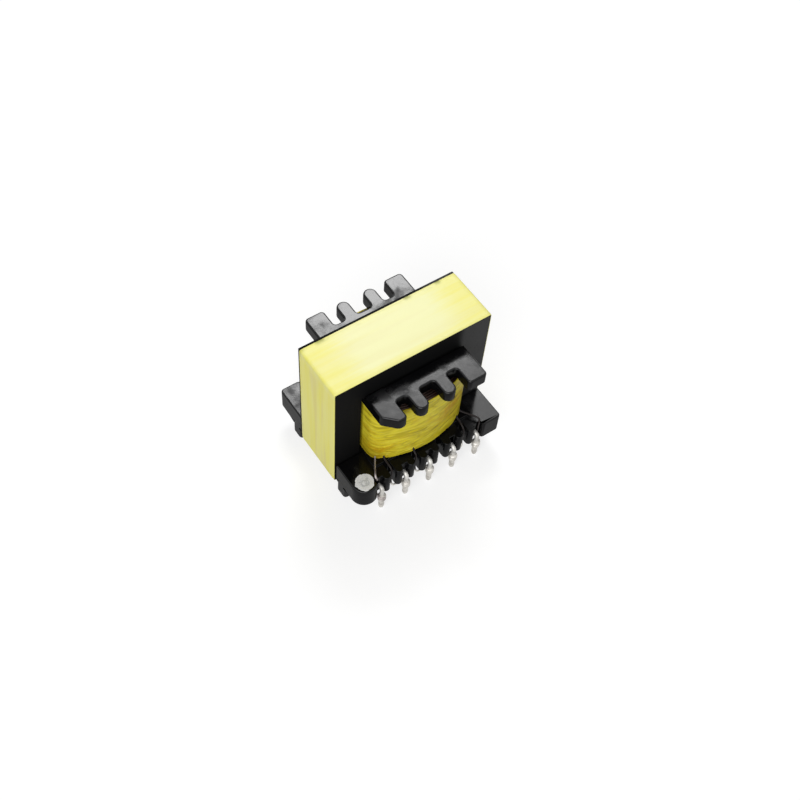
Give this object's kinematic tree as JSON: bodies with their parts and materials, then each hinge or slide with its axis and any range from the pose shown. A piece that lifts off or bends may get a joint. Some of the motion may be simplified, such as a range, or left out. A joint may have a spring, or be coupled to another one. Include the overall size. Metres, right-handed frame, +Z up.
{
  "type": "power transformer",
  "caption": "Ferrite-core power transformer: E-I core bound with yellow tape on an upright black bobbin, taped coil, comb rails and two rows of L-shaped board pins",
  "frame": {"origin": "centre of the footprint, on the plane of the pins' tips", "axes": "+Z up along the core's legs, +X along the pin rows towards the right, front towards -Y, where the boss with the dot is at the left"},
  "size_m": [0.0304, 0.0266, 0.029],
  "materials": {
    "bobbin_plastic": "glossy black moulded thermoset",
    "ferrite": "ground dark grey ferrite, slightly shiny",
    "core_tape": "pale yellow polyester tape",
    "coil_tape": "yellow polyester tape over copper, wrinkled",
    "copper": "enamelled copper wire",
    "tinned_pin": "tinned steel wire",
    "tinned_lead": "tinned copper wire, soldered",
    "dot_paint": "white paint"
  },
  "bodies": {
    "root": {"bobbin": "bobbin_plastic", "core_e": "ferrite", "core_bar": "ferrite", "core_tape": "core_tape", "primary_winding": "copper", "layer_tape": "coil_tape", "secondary_winding": "copper", "coil_tape": "coil_tape", "pin_1": "tinned_pin", "pin_2": "tinned_pin", "pin_3": "tinned_pin", "pin_4": "tinned_pin", "pin_5": "tinned_pin", "pin_6": "tinned_pin", "pin_7": "tinned_pin", "pin_8": "tinned_pin", "pin_9": "tinned_pin", "pin_10": "tinned_pin", "lead_1": "tinned_lead", "lead_2": "tinned_lead", "lead_3": "tinned_lead", "lead_4": "tinned_lead", "lead_5": "tinned_lead", "lead_6": "tinned_lead", "lead_7": "tinned_lead", "lead_8": "tinned_lead", "lead_9": "tinned_lead", "lead_10": "tinned_lead", "polarity_dot": "dot_paint"}
  },
  "joints": []
}
